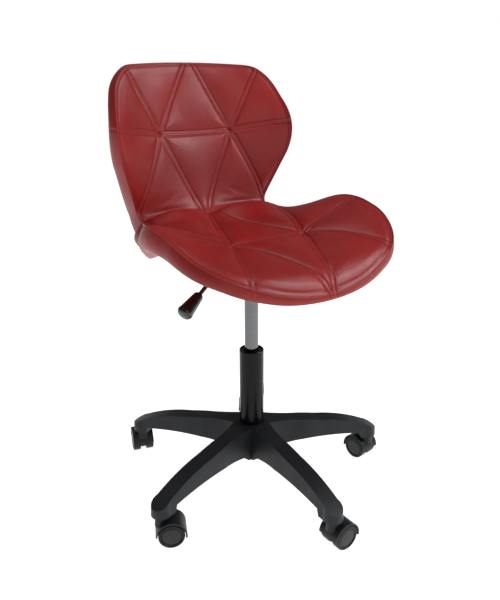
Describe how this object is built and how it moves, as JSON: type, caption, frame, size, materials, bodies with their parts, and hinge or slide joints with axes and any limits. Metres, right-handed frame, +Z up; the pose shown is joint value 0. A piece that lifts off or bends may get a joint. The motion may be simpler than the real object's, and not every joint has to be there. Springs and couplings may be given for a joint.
{
  "type": "stylist stool",
  "caption": "Rolling swivel stool with a quilted bucket seat and low winged back, gas lift with release lever, star base and twin-wheel casters.",
  "frame": {"origin": "on the floor, on the axis of the gas lift", "axes": "+Z up, -Y the way the seat faces, -X the sitter's right, where the release lever is"},
  "size_m": [0.5587, 0.5739, 0.852],
  "materials": {
    "base_nylon": "satin",
    "hood_nylon": "satin",
    "wheel_nylon": "satin",
    "wheel_cap": "satin",
    "steel": "satin",
    "spring_steel": "satin",
    "tube_black": "gloss",
    "bush_plastic": "matte",
    "stop_rubber": "matte",
    "lift_chrome": "polished",
    "mech_paint": "satin",
    "lever_plated": "gloss",
    "knob_gloss": "gloss",
    "shell_plastic": "matte",
    "pad_foam": "matte",
    "seat_leather": "satin",
    "back_leather": "satin"
  },
  "bodies": {
    "base": {"base_star": "base_nylon", "hub_ring": "steel", "outer_tube": "tube_black", "guide_bush": "bush_plastic", "thrust_bearing": "steel", "bump_rubber": "stop_rubber", "foot_washer": "steel", "caster_stems": "steel", "stem_grip_rings": "spring_steel"},
    "rod": {"piston_rod": "steel", "piston": "bush_plastic", "rod_clip": "spring_steel"},
    "seat": {"pressure_tube": "lift_chrome", "rod_guide": "bush_plastic", "mech_plate": "mech_paint", "mech_housing": "mech_paint", "taper_socket": "mech_paint", "lever_pin": "steel", "plate_bolts": "steel", "tee_nuts": "steel", "seat_shell": "shell_plastic", "seat_foam": "pad_foam", "back_foam": "pad_foam", "seat_cover": "seat_leather", "back_cover": "back_leather"},
    "lever": {"lever_rod": "lever_plated", "lever_knob": "knob_gloss"},
    "valve": {"release_pin": "steel"},
    "caster_1": {"caster_1_hood": "hood_nylon", "caster_1_axle": "steel"},
    "wheel_1_a": {"caster_1_wheel_a": "wheel_nylon", "caster_1_cap_a": "wheel_cap"},
    "wheel_1_b": {"caster_1_wheel_b": "wheel_nylon", "caster_1_cap_b": "wheel_cap"},
    "caster_2": {"caster_2_hood": "hood_nylon", "caster_2_axle": "steel"},
    "wheel_2_a": {"caster_2_wheel_a": "wheel_nylon", "caster_2_cap_a": "wheel_cap"},
    "wheel_2_b": {"caster_2_wheel_b": "wheel_nylon", "caster_2_cap_b": "wheel_cap"},
    "caster_3": {"caster_3_hood": "hood_nylon", "caster_3_axle": "steel"},
    "wheel_3_a": {"caster_3_wheel_a": "wheel_nylon", "caster_3_cap_a": "wheel_cap"},
    "wheel_3_b": {"caster_3_wheel_b": "wheel_nylon", "caster_3_cap_b": "wheel_cap"},
    "caster_4": {"caster_4_hood": "hood_nylon", "caster_4_axle": "steel"},
    "wheel_4_a": {"caster_4_wheel_a": "wheel_nylon", "caster_4_cap_a": "wheel_cap"},
    "wheel_4_b": {"caster_4_wheel_b": "wheel_nylon", "caster_4_cap_b": "wheel_cap"},
    "caster_5": {"caster_5_hood": "hood_nylon", "caster_5_axle": "steel"},
    "wheel_5_a": {"caster_5_wheel_a": "wheel_nylon", "caster_5_cap_a": "wheel_cap"},
    "wheel_5_b": {"caster_5_wheel_b": "wheel_nylon", "caster_5_cap_b": "wheel_cap"}
  },
  "joints": [
    {"name": "seat_swivel", "type": "hinge", "parent": "base", "child": "rod", "pos_m": [0, 0, 0.07], "axis": [0, 0, 1], "continuous": true},
    {"name": "seat_height", "type": "slide", "parent": "rod", "child": "seat", "axis": [0, 0, 1], "range_m": [-0.12, 0]},
    {"name": "lever_lift", "type": "hinge", "parent": "seat", "child": "lever", "pos_m": [-0.024, 0, 0.4922], "axis": [0, 1, 0], "range_deg": [0, 6], "stiffness_Nm_per_rad": 1.2, "springref_deg": -5.73},
    {"name": "valve_press", "type": "slide", "parent": "seat", "child": "valve", "axis": [0, 0, 1], "range_m": [-0.0026, 0]},
    {"name": "caster_1_swivel", "type": "hinge", "parent": "base", "child": "caster_1", "pos_m": [0.25125, -0.10021, 0.05], "axis": [0, 0, 1], "continuous": true},
    {"name": "wheel_1_a_spin", "type": "hinge", "parent": "caster_1", "child": "wheel_1_a", "pos_m": [0.25007, -0.08325, 0.025], "axis": [-0.9976, -0.0698, 0], "continuous": true},
    {"name": "wheel_1_b_spin", "type": "hinge", "parent": "caster_1", "child": "wheel_1_b", "pos_m": [0.25007, -0.08325, 0.025], "axis": [-0.9976, -0.0698, 0], "continuous": true},
    {"name": "caster_2_swivel", "type": "hinge", "parent": "base", "child": "caster_2", "pos_m": [0.17295, 0.20799, 0.05], "axis": [0, 0, 1], "continuous": true},
    {"name": "wheel_2_a_spin", "type": "hinge", "parent": "caster_2", "child": "wheel_2_a", "pos_m": [0.1592, 0.21798, 0.025], "axis": [-0.5878, -0.809, 0], "continuous": true},
    {"name": "wheel_2_b_spin", "type": "hinge", "parent": "caster_2", "child": "wheel_2_b", "pos_m": [0.1592, 0.21798, 0.025], "axis": [-0.5878, -0.809, 0], "continuous": true},
    {"name": "caster_3_swivel", "type": "hinge", "parent": "base", "child": "caster_3", "pos_m": [-0.14436, 0.22876, 0.05], "axis": [0, 0, 1], "continuous": true},
    {"name": "wheel_3_a_spin", "type": "hinge", "parent": "caster_3", "child": "wheel_3_a", "pos_m": [-0.13855, 0.24473, 0.025], "axis": [-0.9397, 0.342, 0], "continuous": true},
    {"name": "wheel_3_b_spin", "type": "hinge", "parent": "caster_3", "child": "wheel_3_b", "pos_m": [-0.13855, 0.24473, 0.025], "axis": [-0.9397, 0.342, 0], "continuous": true},
    {"name": "caster_4_swivel", "type": "hinge", "parent": "base", "child": "caster_4", "pos_m": [-0.26217, -0.06661, 0.05], "axis": [0, 0, 1], "continuous": true},
    {"name": "wheel_4_a_spin", "type": "hinge", "parent": "caster_4", "child": "wheel_4_a", "pos_m": [-0.24702, -0.07433, 0.025], "axis": [0.454, 0.891, 0], "continuous": true},
    {"name": "wheel_4_b_spin", "type": "hinge", "parent": "caster_4", "child": "wheel_4_b", "pos_m": [-0.24702, -0.07433, 0.025], "axis": [0.454, 0.891, 0], "continuous": true},
    {"name": "caster_5_swivel", "type": "hinge", "parent": "base", "child": "caster_5", "pos_m": [-0.01767, -0.26992, 0.05], "axis": [0, 0, 1], "continuous": true},
    {"name": "wheel_5_a_spin", "type": "hinge", "parent": "caster_5", "child": "wheel_5_a", "pos_m": [-0.00067, -0.27022, 0.025], "axis": [0.0175, 0.9998, 0], "continuous": true},
    {"name": "wheel_5_b_spin", "type": "hinge", "parent": "caster_5", "child": "wheel_5_b", "pos_m": [-0.00067, -0.27022, 0.025], "axis": [0.0175, 0.9998, 0], "continuous": true}
  ],
  "couplings": [
    {"joint": "valve_press", "follows": "lever_lift", "m_per_rad": -0.024}
  ]
}
